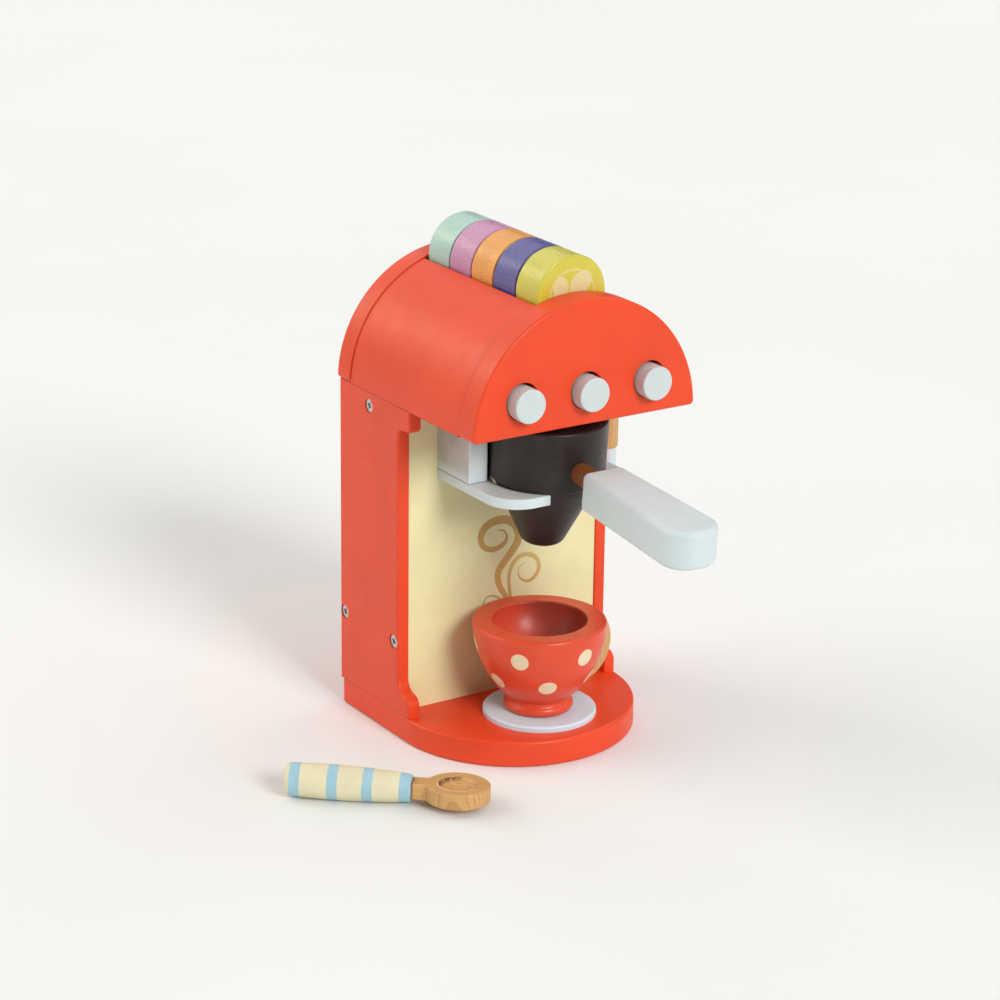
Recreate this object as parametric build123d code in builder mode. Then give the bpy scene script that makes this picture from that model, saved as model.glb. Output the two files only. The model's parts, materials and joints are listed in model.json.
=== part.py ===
from build123d import *
import math
import os

os.makedirs("parts", exist_ok=True)

# Wooden toy coffee maker, millimetres, +Z up, front towards -Y.
# Origin: underside of the base board, at the centre of its round front.

# ---------------------------------------------------------------- machine
base_r = 60.0             # round front of the base board
base_t = 13.0             # base board thickness
back_y = 63.0             # back face of the machine
base_corner_r = 5.0
base_edge_r = 1.6

side_t = 6.4              # side panel thickness
side_top = 167.6          # underside of the roof
side_front_y = 8.0        # set back front edge of the side panels
side_foot_y = -2.4        # front of the ears and feet
ear_h = 11.2              # ear height under the roof
foot_h = 10.6             # height of the foot above the base board

splash_y = 8.9            # front face of the cream splash panel
panel_t = 6.4             # splash panel and rear panel
rear_y = 61.3             # outer face of the rear panel
top_board_t = 13.0

roof_r = 61.1             # front and back roof panels
roof_zc = 166.4           # centre height of the roof arch
roof_front_y = -59.5
roof_front_t = 13.6
roof_back_t = 11.9
roof_edge_r = 1.3
shell_r = 60.4            # curved roof skin
shell_t = 8.0
floor_t = 4.4             # board that closes the roof from below

slot_half = 18.95         # pod slot, half width
pod_r = 18.6
pod_t = 18.7
pod_gap = 0.3
pod_z = 225.9
cradle_t = 6.0

button_x = 34.9
button_z = 183.5
button_r = 8.1
button_out = 7.0
button_hole_r = 9.0
button_hole_up = 0.55
flange_r = 10.8
flange_t = 2.0
stop_y = -31.0            # front face of the stop board
stop_t = 6.0
spring_wire_r = 0.45
spring_mean_r = 4.6
spring_turns = 5.0

# --------------------------------------------------- serving side, filter
serve_y = -25.0           # axis of saucer and cup
saucer_r = 27.4
saucer_t = 2.8

yoke_z0 = 128.1
yoke_z1 = 133.2
yoke_half = 37.8
yoke_front = -51.0
yoke_corner = 16.0
yoke_open_y = -27.0
yoke_open_r = 26.2
yoke_gap_half = 13.3
block_front = -19.2
block_in = 27.3

filter_tilt = 4.4         # degrees, the loose filter cup leans to the front
filter_y = -27.35         # centre of the underside of its collar
filter_z = 135.05
filter_r = 27.8
filter_h = 30.1           # collar height
cone_r_top = 25.2
cone_r_neck = 24.2
cone_neck = 3.9
cone_r_low = 11.0
cone_len = 31.4
spout_r = 6.7
spout_len = 34.4
cavity_r = 18.5
cavity_depth = 19.0
handle_h = 9.23           # handle line above the collar's underside
dowel_r = 5.2
dowel_up = 0.9            # dowel above the grip's middle
grip_s0 = 43.95           # distance from the filter axis to the grip
grip_s1 = 123.65
grip_w0 = 22.0
grip_w1 = 27.8
grip_h = 18.6

# ------------------------------------------------------------------ cup
cup_z0 = base_t + saucer_t
cup_top = 61.0
cup_rim_r = 32.3
cup_hole_r = 22.8
cup_floor = 37.0
cup_x = -0.7              # the loose cup stands a touch left of the middle
ear_turn = 12.0           # degrees, handle turned back from the +X side
ear_x = 29.4              # ring centre, distance from the cup axis
ear_z = 39.4
ear_r = 18.1
ear_in_r = 11.5
ear_t = 7.0

# ------------------------------------------------------------ steam wand
wand_x = 67.0
wand_y = 20.2
wand_r = 6.0
tip_r = 5.2
wand_z0 = 123.4
wand_z1 = 156.0
tip_z0 = 97.0

# ---------------------------------------------------------------- spoon
spoon_az = -38.6          # degrees
spoon_tilt = 1.4          # head end lower
spoon_roll = 3.5          # about the long axis
spoon_at = (-138.82, -22.84, 8.86)
spoon_len = 58.9          # barrel handle
barrel_r0 = 7.66
barrel_r1 = 8.18
barrel_r2 = 6.52
head_s = 80.2             # centre of the round head, from the handle end
head_r = 15.0
head_t = 7.8
neck_w = 10.0

# ---------------------------------------------------------------- base
with BuildPart() as base_board:
    with BuildSketch(Plane.XY):
        with BuildLine():
            Line((-base_r, 0), (-base_r, back_y - base_corner_r))
            RadiusArc((-base_r, back_y - base_corner_r), (-base_r + base_corner_r, back_y), base_corner_r)
            Line((-base_r + base_corner_r, back_y), (base_r - base_corner_r, back_y))
            RadiusArc((base_r - base_corner_r, back_y), (base_r, back_y - base_corner_r), base_corner_r)
            Line((base_r, back_y - base_corner_r), (base_r, 0))
            ThreePointArc((base_r, 0), (0, -base_r), (-base_r, 0))
        make_face()
    extrude(amount=base_t)
    fillet(base_board.edges().group_by(Axis.Z)[-1] + base_board.edges().group_by(Axis.Z)[0], base_edge_r)
base_board.part.label = "base_board"
export_step(base_board.part, "parts/base_board.step")


# ---------------------------------------------------------- side panels
# C shaped outline in the YZ plane: ear at the top, stepped foot at the base.
screws = [(34.9, 160.6), (58.1, 48.5), (12.1, 48.5)]
screw_head_r = 3.2
screw_bore_r = 3.45
screw_shank_r = 1.5
screw_sink = 0.5
screw_head_t = 1.6
screw_len = 17.0


def side_outline():
    zt = side_top
    ze = side_top - ear_h
    zf = base_t + foot_h
    yr = side_front_y
    yf = side_foot_y
    Line((back_y - 0.5, base_t), (back_y - 0.5, zt))
    Line((back_y - 0.5, zt), (yf, zt))
    Line((yf, zt), (yf, ze + 3.0))
    ThreePointArc((yf, ze + 3.0), (yf + 0.88, ze + 0.88), (yf + 3.0, ze))
    Line((yf + 3.0, ze), (yr - 4.0, ze))
    ThreePointArc((yr - 4.0, ze), (yr - 1.17, ze - 1.17), (yr, ze - 4.0))
    Line((yr, ze - 4.0), (yr, zf + 6.4))
    ThreePointArc((yr, zf + 6.4), (yr - 1.6, zf + 2.1), (yr - 5.4, zf))
    ThreePointArc((yr - 5.4, zf), (yf + 1.1, zf - 1.9), (yf, zf - 5.2))
    Line((yf, zf - 5.2), (yf, base_t))
    Line((yf, base_t), (back_y - 0.5, base_t))


with BuildPart() as left_side_panel:
    with BuildSketch(Plane.YZ.offset(-base_r)):
        with BuildLine():
            side_outline()
        make_face()
    extrude(amount=side_t)
    soft = [e for e in left_side_panel.edges()
            if abs(e.center().X + base_r) < 0.01 and base_t + 0.1 < e.center().Z < side_top - 0.1]
    fillet(soft, 1.3)
    soft_in = [e for e in left_side_panel.edges()
               if abs(e.center().X + base_r - side_t) < 0.01 and e.center().Y < side_front_y + 0.1
               and base_t + 0.1 < e.center().Z < side_top - 0.1]
    fillet(soft_in, 0.8)
    top_edge = [e for e in left_side_panel.edges()
                if abs(e.center().X + base_r) < 0.01 and abs(e.center().Z - side_top) < 0.01]
    fillet(top_edge, 0.8)
    with BuildSketch(Plane.YZ.offset(-base_r)):
        with Locations(*screws):
            Circle(screw_bore_r)
    extrude(amount=screw_sink + screw_head_t, mode=Mode.SUBTRACT)
    with BuildSketch(Plane.YZ.offset(-base_r)):
        with Locations(*screws):
            Circle(screw_shank_r)
    extrude(amount=side_t, mode=Mode.SUBTRACT)
left_side_panel.part.label = "left_side_panel"
export_step(left_side_panel.part, "parts/left_side_panel.step")

peg_z = 146.0
peg_r = 3.0
with BuildPart() as right_side_panel:
    with BuildSketch(Plane.YZ.offset(base_r)):
        with BuildLine():
            side_outline()
        make_face()
    extrude(amount=-side_t)
    soft = [e for e in right_side_panel.edges()
            if abs(e.center().X - base_r) < 0.01 and base_t + 0.1 < e.center().Z < side_top - 0.1]
    fillet(soft, 1.3)
    soft_in = [e for e in right_side_panel.edges()
               if abs(e.center().X - base_r + side_t) < 0.01 and e.center().Y < side_front_y + 0.1
               and base_t + 0.1 < e.center().Z < side_top - 0.1]
    fillet(soft_in, 0.8)
    top_edge = [e for e in right_side_panel.edges()
                if abs(e.center().X - base_r) < 0.01 and abs(e.center().Z - side_top) < 0.01]
    fillet(top_edge, 0.8)
    with BuildSketch(Plane.YZ.offset(base_r)):
        with Locations(*screws):
            Circle(screw_bore_r)
    extrude(amount=-(screw_sink + screw_head_t), mode=Mode.SUBTRACT)
    with BuildSketch(Plane.YZ.offset(base_r)):
        with Locations(*screws):
            Circle(screw_shank_r)
        with Locations((wand_y, peg_z)):
            Circle(peg_r)
    extrude(amount=-side_t, mode=Mode.SUBTRACT)
right_side_panel.part.label = "right_side_panel"
export_step(right_side_panel.part, "parts/right_side_panel.step")

inner = base_r - side_t

# Cream splash panel between the sides.
with BuildPart() as splash_panel:
    with Locations((0, splash_y + panel_t / 2, (base_t + side_top) / 2)):
        Box(2 * inner, panel_t, side_top - base_t)
    with BuildSketch(Plane.YZ.offset(-inner)):
        with Locations(screws[2]):
            Circle(screw_shank_r)
    extrude(amount=screw_len - side_t, mode=Mode.SUBTRACT)
    with BuildSketch(Plane.YZ.offset(inner)):
        with Locations(screws[2]):
            Circle(screw_shank_r)
    extrude(amount=-(screw_len - side_t), mode=Mode.SUBTRACT)
splash_panel.part.label = "splash_panel"
export_step(splash_panel.part, "parts/splash_panel.step")

with BuildPart() as rear_panel:
    with Locations((0, rear_y - panel_t / 2, (base_t + side_top) / 2)):
        Box(2 * inner, panel_t, side_top - base_t)
    with BuildSketch(Plane.YZ.offset(-inner)):
        with Locations(screws[1]):
            Circle(screw_shank_r)
    extrude(amount=screw_len - side_t, mode=Mode.SUBTRACT)
    with BuildSketch(Plane.YZ.offset(inner)):
        with Locations(screws[1]):
            Circle(screw_shank_r)
    extrude(amount=-(screw_len - side_t), mode=Mode.SUBTRACT)
rear_panel.part.label = "rear_panel"
export_step(rear_panel.part, "parts/rear_panel.step")

tb_y0 = splash_y + panel_t
tb_y1 = rear_y - panel_t
with BuildPart() as top_board:
    with Locations((0, (tb_y0 + tb_y1) / 2, side_top - top_board_t / 2)):
        Box(2 * inner, tb_y1 - tb_y0, top_board_t)
    with BuildSketch(Plane.YZ.offset(-inner)):
        with Locations(screws[0]):
            Circle(screw_shank_r)
    extrude(amount=screw_len - side_t, mode=Mode.SUBTRACT)
    with BuildSketch(Plane.YZ.offset(inner)):
        with Locations(screws[0]):
            Circle(screw_shank_r)
    extrude(amount=-(screw_len - side_t), mode=Mode.SUBTRACT)
top_board.part.label = "top_board"
export_step(top_board.part, "parts/top_board.step")

# Six countersunk wood screws with cross recesses, three on each side.
with BuildPart() as side_screws:
    for s in (-1, 1):
        face = Plane.YZ.offset(s * (base_r - screw_sink))
        with BuildSketch(face):
            with Locations(*screws):
                Circle(screw_head_r)
        extrude(amount=-s * screw_head_t)
        with BuildSketch(face):
            with Locations(*screws):
                Circle(screw_shank_r)
        extrude(amount=-s * (screw_len - screw_sink))
        with BuildSketch(face):
            with Locations(*screws):
                Rectangle(3.6, 0.9, rotation=20)
                Rectangle(0.9, 3.6, rotation=20)
        extrude(amount=-s * 1.0, mode=Mode.SUBTRACT)
side_screws.part.label = "side_screws"
export_step(side_screws.part, "parts/side_screws.step")


# ---------------------------------------------------------------- roof
def arch_outline(r, low):
    half = math.sqrt(r * r - (low - roof_zc) ** 2)
    Line((-half, low), (half, low))
    ThreePointArc((half, low), (0, roof_zc + r), (-half, low))


front_plane = Plane(origin=(0, roof_front_y, 0), x_dir=(1, 0, 0), z_dir=(0, -1, 0))
buttons = [(-button_x, button_z), (0.0, button_z), (button_x, button_z)]

with BuildPart() as roof_front_panel:
    with BuildSketch(front_plane):
        with BuildLine():
            arch_outline(roof_r, side_top)
        make_face()
    extrude(amount=-roof_front_t)
    vert = [e for e in roof_front_panel.edges().filter_by(Axis.Y)]
    fillet(vert, 2.2)
    ends = [e for e in roof_front_panel.edges()
            if abs(e.center().Y - roof_front_y) < 0.01 or abs(e.center().Y - roof_front_y - roof_front_t) < 0.01]
    fillet([e for e in ends if abs(e.center().Y - roof_front_y) < 0.01], roof_edge_r)
    back_ring = [e for e in roof_front_panel.edges()
                 if abs(e.center().Y - roof_front_y - roof_front_t) < 0.01 and e.center().Z > side_top + 0.1]
    fillet(back_ring, 0.9)
    with BuildSketch(front_plane):
        with Locations(*[(x, z + button_hole_up) for x, z in buttons]):
            Circle(button_hole_r)
    extrude(amount=-roof_front_t, mode=Mode.SUBTRACT)
roof_front_panel.part.label = "roof_front_panel"
export_step(roof_front_panel.part, "parts/roof_front_panel.step")

back_plane = Plane(origin=(0, back_y, 0), x_dir=(1, 0, 0), z_dir=(0, -1, 0))
with BuildPart() as roof_back_panel:
    with BuildSketch(back_plane):
        with BuildLine():
            arch_outline(roof_r, side_top)
        make_face()
    extrude(amount=roof_back_t)
    vert = [e for e in roof_back_panel.edges().filter_by(Axis.Y)]
    fillet(vert, 2.2)
    fillet([e for e in roof_back_panel.edges() if abs(e.center().Y - back_y) < 0.01], roof_edge_r)
    fillet([e for e in roof_back_panel.edges()
            if abs(e.center().Y - back_y + roof_back_t) < 0.01 and e.center().Z > side_top + 0.1], 0.5)
roof_back_panel.part.label = "roof_back_panel"
export_step(roof_back_panel.part, "parts/roof_back_panel.step")

skin_y0 = roof_front_y + roof_front_t
skin_y1 = back_y - roof_back_t
skin_len = skin_y1 - skin_y0
skin_plane = Plane(origin=(0, skin_y0, 0), x_dir=(1, 0, 0), z_dir=(0, -1, 0))

with BuildPart() as roof_skin:
    with BuildSketch(skin_plane):
        with BuildLine():
            arch_outline(shell_r, side_top)
        make_face()
        with BuildLine():
            arch_outline(shell_r - shell_t, side_top)
        make_face(mode=Mode.SUBTRACT)
        with Locations((0, roof_zc + shell_r)):
            Rectangle(2 * slot_half, 40, mode=Mode.SUBTRACT)
    extrude(amount=-skin_len)
    lip = [e for e in roof_skin.edges().filter_by(Axis.Y)
           if abs(abs(e.center().X) - slot_half) < 0.01
           and math.hypot(e.center().X, e.center().Z - roof_zc) > shell_r - 0.1]
    fillet(lip, 0.8)
roof_skin.part.label = "roof_skin"
export_step(roof_skin.part, "parts/roof_skin.step")

floor_half = math.sqrt((shell_r - shell_t) ** 2 - (side_top + floor_t - roof_zc) ** 2) - 0.05
with BuildPart() as roof_floor:
    with Locations((0, (skin_y0 + skin_y1) / 2, side_top + floor_t / 2)):
        Box(2 * floor_half, skin_len, floor_t)
roof_floor.part.label = "roof_floor"
export_step(roof_floor.part, "parts/roof_floor.step")

cradle_top = pod_z - pod_r
cradle_half = math.sqrt((shell_r - shell_t) ** 2 - (cradle_top - roof_zc) ** 2) - 0.1
with BuildPart() as pod_cradle:
    with Locations((0, (skin_y0 + skin_y1) / 2, cradle_top - cradle_t / 2)):
        Box(2 * cradle_half, skin_len, cradle_t)
pod_cradle.part.label = "pod_cradle"
export_step(pod_cradle.part, "parts/pod_cradle.step")

stop_z0 = side_top + floor_t
stop_z1 = cradle_top - cradle_t
with BuildPart() as button_stop_board:
    with BuildSketch(Plane(origin=(0, stop_y, 0), x_dir=(1, 0, 0), z_dir=(0, -1, 0))):
        with Locations((0, (stop_z0 + stop_z1) / 2)):
            Rectangle(120, stop_z1 - stop_z0)
        with BuildLine():
            arch_outline(shell_r - shell_t - 0.05, side_top)
        make_face(mode=Mode.INTERSECT)
    extrude(amount=-stop_t)
button_stop_board.part.label = "button_stop_board"
export_step(button_stop_board.part, "parts/button_stop_board.step")

# -------------------------------------------------------------- buttons
flange_y = roof_front_y + roof_front_t + 0.3
names = ["button_left", "button_middle", "button_right"]
for name, (bx, bz) in zip(names, buttons):
    with BuildPart() as button:
        with BuildSketch(Plane(origin=(bx, flange_y, bz), x_dir=(1, 0, 0), z_dir=(0, -1, 0))):
            Circle(button_r)
        extrude(amount=flange_y - (roof_front_y - button_out))
        fillet([e for e in button.edges() if abs(e.center().Y - (roof_front_y - button_out)) < 0.01], 0.9)
        with BuildSketch(Plane(origin=(bx, flange_y, bz), x_dir=(1, 0, 0), z_dir=(0, -1, 0))):
            Circle(flange_r)
        extrude(amount=-flange_t)
    button.part.label = name
    export_step(button.part, "parts/" + name + ".step")

spring_y0 = flange_y + flange_t
spring_len = stop_y - spring_y0
for name, (bx, bz) in zip(names, buttons):
    sname = name.replace("button", "button_spring")
    with BuildPart() as spring:
        with BuildLine():
            Helix(pitch=(spring_len - 2 * spring_wire_r - 0.1) / spring_turns,
                  height=spring_len - 2 * spring_wire_r - 0.1,
                  radius=spring_mean_r,
                  center=(bx, spring_y0 + spring_wire_r + 0.05, bz),
                  direction=(0, 1, 0))
        path = spring.pending_edges_as_wire
        with BuildSketch(Plane(origin=path @ 0, z_dir=path % 0)):
            Circle(spring_wire_r)
        sweep(path=path)
    spring.part.label = sname
    export_step(spring.part, "parts/" + sname + ".step")

# ----------------------------------------------------------------- pods
pod_front = skin_y0 + 0.4
pod_names = ["pod_mint", "pod_pink", "pod_orange", "pod_indigo", "pod_lime"]
for i, name in enumerate(pod_names):
    y_front = pod_front + (4 - i) * (pod_t + pod_gap)
    with BuildPart() as pod:
        with BuildSketch(Plane(origin=(0, y_front, pod_z), x_dir=(1, 0, 0), z_dir=(0, -1, 0))):
            Circle(pod_r)
        extrude(amount=-pod_t)
        fillet(pod.edges().filter_by(GeomType.CIRCLE), 0.9)
    pod.part.label = name
    export_step(pod.part, "parts/" + name + ".step")

# --------------------------------------------------- bracket and saucer
for name, s in (("left_bracket_block", -1), ("right_bracket_block", 1)):
    with BuildPart() as block:
        with Locations((s * (yoke_half + block_in) / 2, (splash_y + block_front) / 2, (yoke_z1 + side_top) / 2)):
            Box(yoke_half - block_in, splash_y - block_front, side_top - yoke_z1)
        fillet([e for e in block.edges().filter_by(Axis.Z) if e.center().Y < 0], 0.9)
    block.part.label = name
    export_step(block.part, "parts/" + name + ".step")

with BuildPart() as yoke_plate:
    with BuildSketch(Plane.XY.offset(yoke_z0)):
        with BuildLine():
            Line((-yoke_half, splash_y), (yoke_half, splash_y))
            Line((yoke_half, splash_y), (yoke_half, yoke_front + yoke_corner))
            RadiusArc((yoke_half, yoke_front + yoke_corner), (yoke_half - yoke_corner, yoke_front), yoke_corner)
            Line((yoke_half - yoke_corner, yoke_front), (-yoke_half + yoke_corner, yoke_front))
            RadiusArc((-yoke_half + yoke_corner, yoke_front), (-yoke_half, yoke_front + yoke_corner), yoke_corner)
            Line((-yoke_half, yoke_front + yoke_corner), (-yoke_half, splash_y))
        make_face()
        with Locations((0, yoke_open_y)):
            Circle(yoke_open_r, mode=Mode.SUBTRACT)
        with Locations((0, yoke_front)):
            Rectangle(2 * yoke_gap_half, 24, mode=Mode.SUBTRACT)
    extrude(amount=yoke_z1 - yoke_z0)
    rim = [e for e in yoke_plate.edges()
           if (abs(e.center().Z - yoke_z0) < 0.01 or abs(e.center().Z - yoke_z1) < 0.01)
           and e.center().Y < splash_y - 0.1
           and math.hypot(e.center().X, e.center().Y - yoke_open_y) > yoke_open_r + 1.0]
    fillet([e for e in rim if abs(e.center().X) > yoke_gap_half + 0.1], 0.7)
yoke_plate.part.label = "yoke_plate"
export_step(yoke_plate.part, "parts/yoke_plate.step")

with BuildPart() as saucer_disc:
    with BuildSketch(Plane.XY.offset(base_t)):
        with Locations((0, serve_y)):
            Circle(saucer_r)
    extrude(amount=saucer_t)
    fillet(saucer_disc.edges().group_by(Axis.Z)[-1], 1.0)
saucer_disc.part.label = "saucer_disc"
export_step(saucer_disc.part, "parts/saucer_disc.step")

# ---------------------------------------------------------- filter cup
ft = math.radians(filter_tilt)
f_o = Vector(0, filter_y, filter_z)
f_up = Vector(0, -math.sin(ft), math.cos(ft))
f_out = Vector(0, -math.cos(ft), -math.sin(ft))
# Section plane: x across, y up along the leaning axis, zero at the collar's underside.
f_plane = Plane(origin=f_o, x_dir=(1, 0, 0), z_dir=f_out)
# Handle frame: x runs out along the grip, z is the grip's up direction.
handle_o = f_o + f_up * handle_h
dowel_in = 19.4
handle_frame = Plane(origin=handle_o, x_dir=f_out, z_dir=f_up)
dowel_plane = Plane(origin=handle_o + f_out * dowel_in + f_up * dowel_up, z_dir=f_out)

with BuildPart() as filter_cup:
    with BuildSketch(f_plane):
        with BuildLine():
            Line((0, -spout_len), (spout_r, -spout_len))
            ThreePointArc((spout_r, -spout_len), (9.3, -spout_len + 0.8), (cone_r_low, -cone_len))
            Line((cone_r_low, -cone_len), (cone_r_neck, -cone_neck))
            Line((cone_r_neck, -cone_neck), (cone_r_top, 0))
            Line((cone_r_top, 0), (filter_r - 1.2, 0))
            ThreePointArc((filter_r - 1.2, 0), (filter_r - 0.35, 0.35), (filter_r, 1.2))
            Line((filter_r, 1.2), (filter_r, filter_h - 1.2))
            ThreePointArc((filter_r, filter_h - 1.2), (filter_r - 0.35, filter_h - 0.35), (filter_r - 1.2, filter_h))
            Line((filter_r - 1.2, filter_h), (cavity_r + 0.8, filter_h))
            ThreePointArc((cavity_r + 0.8, filter_h), (cavity_r + 0.235, filter_h - 0.235), (cavity_r, filter_h - 0.8))
            Line((cavity_r, filter_h - 0.8), (cavity_r, filter_h - cavity_depth))
            Line((cavity_r, filter_h - cavity_depth), (0, filter_h - cavity_depth))
            Line((0, filter_h - cavity_depth), (0, -spout_len))
        make_face()
    revolve(axis=Axis(f_o, f_up))
    with BuildSketch(dowel_plane):
        Circle(dowel_r)
    extrude(amount=20, mode=Mode.SUBTRACT)
filter_cup.part.label = "filter_cup"
export_step(filter_cup.part, "parts/filter_cup.step")

dowel_tail = 14.0
with BuildPart() as handle_dowel:
    with BuildSketch(dowel_plane):
        Circle(dowel_r)
    extrude(amount=grip_s0 - dowel_in + dowel_tail)
handle_dowel.part.label = "handle_dowel"
export_step(handle_dowel.part, "parts/handle_dowel.step")

end_r = 12.0
with BuildPart() as handle_grip:
    with BuildSketch(handle_frame.offset(-grip_h / 2)):
        with BuildLine():
            Line((grip_s0, -grip_w0 / 2), (grip_s0, grip_w0 / 2))
            CenterArc((grip_s1 - end_r, grip_w1 / 2 - end_r), end_r, 0, 360)
            CenterArc((grip_s1 - end_r, end_r - grip_w1 / 2), end_r, 0, 360)
        make_hull()
    extrude(amount=grip_h)
    ups = [e for e in handle_grip.edges()
           if abs(abs((e.center() - handle_o).dot(f_up)) - grip_h / 2) > 0.5
           and (e.center() - handle_o).dot(f_out) < grip_s0 + 1.0]
    fillet(ups, 3.0)
    rims = [e for e in handle_grip.edges()
            if abs(abs((e.center() - handle_o).dot(f_up)) - grip_h / 2) < 0.05]
    fillet(rims, 2.6)
    with BuildSketch(Plane(origin=handle_o + f_out * grip_s0 + f_up * dowel_up, z_dir=f_out)):
        Circle(dowel_r)
    extrude(amount=dowel_tail, mode=Mode.SUBTRACT)
handle_grip.part.label = "handle_grip"
export_step(handle_grip.part, "parts/handle_grip.step")

# ------------------------------------------------------------------ cup
axis_c = Axis((cup_x, serve_y, 0), (0, 0, 1))
cup_plane = Plane(origin=(cup_x, serve_y, 0), x_dir=(1, 0, 0), z_dir=(0, -1, 0))


def cup_outer():
    Line((0, cup_z0), (14.9, cup_z0))
    ThreePointArc((14.9, cup_z0), (16.8, cup_z0 + 2.0), (15.9, cup_z0 + 4.6))
    ThreePointArc((15.9, cup_z0 + 4.6), (15.35, cup_z0 + 6.0), (15.9, cup_z0 + 7.2))
    ThreePointArc((15.9, cup_z0 + 7.2), (21.7, 29.2), (26.8, 37.4))
    ThreePointArc((26.8, 37.4), (30.3, 46.6), (cup_rim_r - 0.2, 56.2))
    Line((cup_rim_r - 0.2, 56.2), (cup_rim_r, cup_top - 1.6))
    ThreePointArc((cup_rim_r, cup_top - 1.6), (cup_rim_r - 0.47, cup_top - 0.47), (cup_rim_r - 1.6, cup_top))


bowl_d = cup_top - 1.0 - cup_floor
bowl_r = (cup_hole_r ** 2 + bowl_d ** 2) / (2 * bowl_d)
bowl_z = cup_floor + bowl_r

with BuildPart() as cup_body:
    with BuildSketch(cup_plane):
        with BuildLine():
            cup_outer()
            Line((cup_rim_r - 1.6, cup_top), (cup_hole_r + 1.0, cup_top))
            ThreePointArc((cup_hole_r + 1.0, cup_top), (cup_hole_r + 0.3, cup_top - 0.3), (cup_hole_r, cup_top - 1.0))
            ThreePointArc((cup_hole_r, cup_top - 1.0), (bowl_r * math.cos(math.radians(-45)), bowl_z + bowl_r * math.sin(math.radians(-45))), (0, cup_floor))
            Line((0, cup_floor), (0, cup_z0))
        make_face()
    revolve(axis=axis_c)
cup_body.part.label = "cup_body"
export_step(cup_body.part, "parts/cup_body.step")

et = math.radians(ear_turn)
ear_plane = Plane(origin=(cup_x, serve_y, 0), x_dir=(math.cos(et), math.sin(et), 0),
                  z_dir=(math.sin(et), -math.cos(et), 0))
with BuildPart() as cup_handle:
    with BuildSketch(ear_plane):
        with Locations((ear_x, ear_z)):
            Circle(ear_r)
            Circle(ear_in_r, mode=Mode.SUBTRACT)
    extrude(amount=ear_t / 2, both=True)
    fillet(cup_handle.edges().filter_by(GeomType.CIRCLE), 1.8)
    with BuildSketch(cup_plane):
        with BuildLine():
            cup_outer()
            Line((cup_rim_r - 1.6, cup_top), (0, cup_top))
            Line((0, cup_top), (0, cup_z0))
        make_face()
    revolve(axis=axis_c, mode=Mode.SUBTRACT)
cup_handle.part.label = "cup_handle"
export_step(cup_handle.part, "parts/cup_handle.step")

# ------------------------------------------------------------ steam wand
with BuildPart() as wand_body:
    with BuildSketch(Plane.XY.offset(wand_z0)):
        with Locations((wand_x, wand_y)):
            Circle(wand_r)
    extrude(amount=wand_z1 - wand_z0)
    fillet(wand_body.edges().group_by(Axis.Z)[0], 1.2)
    fillet(wand_body.edges().group_by(Axis.Z)[-1], 2.5)
    with BuildSketch(Plane.YZ.offset(wand_x)):
        with Locations((wand_y, peg_z)):
            Circle(peg_r)
    extrude(amount=-wand_r - 1, mode=Mode.SUBTRACT)
wand_body.part.label = "wand_body"
export_step(wand_body.part, "parts/wand_body.step")

with BuildPart() as wand_peg:
    with BuildSketch(Plane.YZ.offset(base_r - side_t)):
        with Locations((wand_y, peg_z)):
            Circle(peg_r)
    extrude(amount=wand_x - base_r + side_t)
wand_peg.part.label = "wand_peg"
export_step(wand_peg.part, "parts/wand_peg.step")

with BuildPart() as wand_tip:
    with BuildSketch(Plane(origin=(wand_x, wand_y, 0), x_dir=(1, 0, 0), z_dir=(0, -1, 0))):
        with BuildLine():
            Line((0, tip_z0), (2.6, tip_z0))
            ThreePointArc((2.6, tip_z0), (3.3, tip_z0 + 0.3), (3.6, tip_z0 + 1.0))
            Line((3.6, tip_z0 + 1.0), (tip_r, tip_z0 + 12.0))
            Line((tip_r, tip_z0 + 12.0), (tip_r, wand_z0))
            Line((tip_r, wand_z0), (0, wand_z0))
            Line((0, wand_z0), (0, tip_z0))
        make_face()
    revolve(axis=Axis((wand_x, wand_y, 0), (0, 0, 1)))
wand_tip.part.label = "wand_tip"
export_step(wand_tip.part, "parts/wand_tip.step")

# ---------------------------------------------------------------- spoon
sa = math.radians(spoon_az)
st = math.radians(spoon_tilt)
sr = math.radians(spoon_roll)
sx = (math.cos(sa) * math.cos(st), math.sin(sa) * math.cos(st), -math.sin(st))
up_v = Vector(math.cos(sa) * math.sin(st), math.sin(sa) * math.sin(st), math.cos(st))
side_v = up_v.cross(Vector(*sx))
sz_v = up_v * math.cos(sr) + side_v * math.sin(sr)
sz = (sz_v.X, sz_v.Y, sz_v.Z)
spoon_frame = Plane(origin=spoon_at, x_dir=sx, z_dir=sz)
spoon_axis = Axis(spoon_at, sx)
tenon_r = 3.0
tenon_len = 12.0

with BuildPart() as spoon_handle:
    with BuildSketch(spoon_frame):
        with BuildLine():
            Line((0, 0), (0, barrel_r0 - 2.5))
            ThreePointArc((0, barrel_r0 - 2.5), (0.75, barrel_r0 - 0.75), (2.4, barrel_r0))
            ThreePointArc((2.4, barrel_r0), (27.0, barrel_r1), (spoon_len - 1.2, barrel_r2))
            ThreePointArc((spoon_len - 1.2, barrel_r2), (spoon_len - 0.35, barrel_r2 - 0.4), (spoon_len, barrel_r2 - 1.2))
            Line((spoon_len, barrel_r2 - 1.2), (spoon_len, tenon_r))
            Line((spoon_len, tenon_r), (spoon_len - tenon_len, tenon_r))
            Line((spoon_len - tenon_len, tenon_r), (spoon_len - tenon_len, 0))
            Line((spoon_len - tenon_len, 0), (0, 0))
        make_face()
    revolve(axis=spoon_axis)
spoon_handle.part.label = "spoon_handle"
export_step(spoon_handle.part, "parts/spoon_handle.step")

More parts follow.
